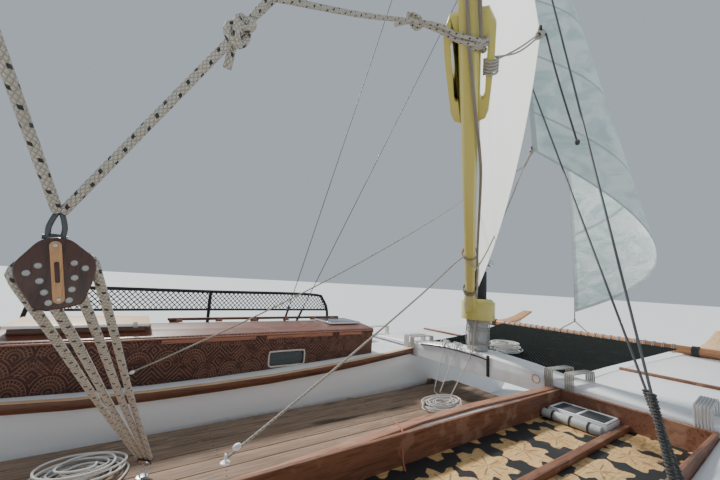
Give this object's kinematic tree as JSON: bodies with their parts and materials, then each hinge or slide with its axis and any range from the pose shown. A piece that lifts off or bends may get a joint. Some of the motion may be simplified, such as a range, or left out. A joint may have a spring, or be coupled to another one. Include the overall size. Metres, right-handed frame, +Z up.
{
  "type": "double-hulled sailing canoe",
  "caption": "Double-hulled sailing canoe with a plank deck, low cabin, stayed mast, mainsail and jib, and rudders joined by a bar.",
  "frame": {"origin": "on the centreline amidships at the waterline", "axes": "+X forward to the bows, +Y to port, +Z up along the mast"},
  "size_m": [9.1005, 4.7742, 9.52],
  "materials": {
    "hull_paint": "white gloss boat paint",
    "varnish": "dark varnished hardwood",
    "tan_wood": "light varnished timber",
    "plank": "weathered bare planks",
    "cabin_wood": "dark red-brown carved and painted plywood",
    "deck_ply": "tan plywood with a black painted ground",
    "black": "black rubber and tape",
    "net": "knotted dark green net",
    "boom_paint": "olive yellow paint",
    "alloy": "satin anodised alloy",
    "post": "dull alloy",
    "sailcloth": "woven white sailcloth",
    "steel": "stainless steel",
    "rope": "braided rope",
    "pane": "dark clear pane"
  },
  "bodies": {
    "root": {"aft_beam": "hull_paint", "cabin_aft": "cabin_wood", "cabin_front": "cabin_wood", "cabin_roof": "cabin_wood", "cabin_wall_inner": "cabin_wood", "cabin_wall_outer": "cabin_wood", "chainplate_port": "steel", "chainplate_starboard": "steel", "cloth_roll": "sailcloth", "deck_ledge_port": "varnish", "deck_ledge_starboard": "varnish", "fore_beam": "tan_wood", "fore_net": "net", "foredeck_batten_port": "varnish", "foredeck_batten_starboard": "varnish", "forestay": "steel", "gunwale_port_inner": "varnish", "gunwale_port_outer": "varnish", "gunwale_starboard_inner": "varnish", "gunwale_starboard_outer": "varnish", "hatch_coaming": "varnish", "hull_port": "hull_paint", "hull_starboard": "hull_paint", "jib": "sailcloth", "mast": "alloy", "mast_beam": "hull_paint", "mast_post": "post", "mast_sleeve": "black", "mast_winch": "steel", "mesh_hatch": "black", "net_rail_port": "black", "net_rail_starboard": "black", "plank_deck": "plank", "prow_board_port": "tan_wood", "prow_board_starboard": "tan_wood", "roof_handrail": "varnish", "shroud_port_lower": "steel", "shroud_port_upper": "steel", "shroud_starboard_lower": "steel", "shroud_starboard_upper": "steel", "solar_panel": "black", "stay_bridle": "rope", "vent_box": "hull_paint", "window_inner": "pane", "window_outer": "pane", "work_batten": "varnish", "work_coaming": "varnish", "work_deck": "deck_ply"},
    "boom": {"boom": "boom_paint", "boom_wing_port": "boom_paint", "boom_wing_starboard": "boom_paint", "mainsail": "sailcloth", "mainsheet_block": "varnish"},
    "rudder_port_body": {"rudder_port": "varnish"},
    "rudder_starboard_body": {"rudder_starboard": "varnish"},
    "tiller_bar_body": {"tiller_bar": "alloy"},
    "hatch": {"hatch_lid": "tan_wood"}
  },
  "joints": [
    {"name": "boom_swing", "type": "hinge", "parent": "root", "child": "boom", "pos_m": [1.25, 0, 1.41], "axis": [0, 0, 1], "range_deg": [-80, 2]},
    {"name": "rudder_port_steer", "type": "hinge", "parent": "root", "child": "rudder_port_body", "pos_m": [-4.2105, 1.27, 0.4], "axis": [0, 0, 1], "range_deg": [-35, 35]},
    {"name": "rudder_starboard_steer", "type": "hinge", "parent": "root", "child": "rudder_starboard_body", "pos_m": [-4.2105, -1.27, 0.4], "axis": [0, 0, 1], "range_deg": [-35, 35]},
    {"name": "tiller_bar_link", "type": "hinge", "parent": "rudder_port_body", "child": "tiller_bar_body", "pos_m": [-3.2955, 1.27, 1.236], "axis": [0, 0, 1], "range_deg": [-35, 35]},
    {"name": "hatch_open", "type": "hinge", "parent": "root", "child": "hatch", "pos_m": [-1.98, 1.52, 1.235], "axis": [-1, 0, 0], "range_deg": [0, 100]}
  ],
  "couplings": [
    {"joint": "rudder_starboard_steer", "follows": "rudder_port_steer", "ratio": 1},
    {"joint": "tiller_bar_link", "follows": "rudder_port_steer", "ratio": -1}
  ]
}
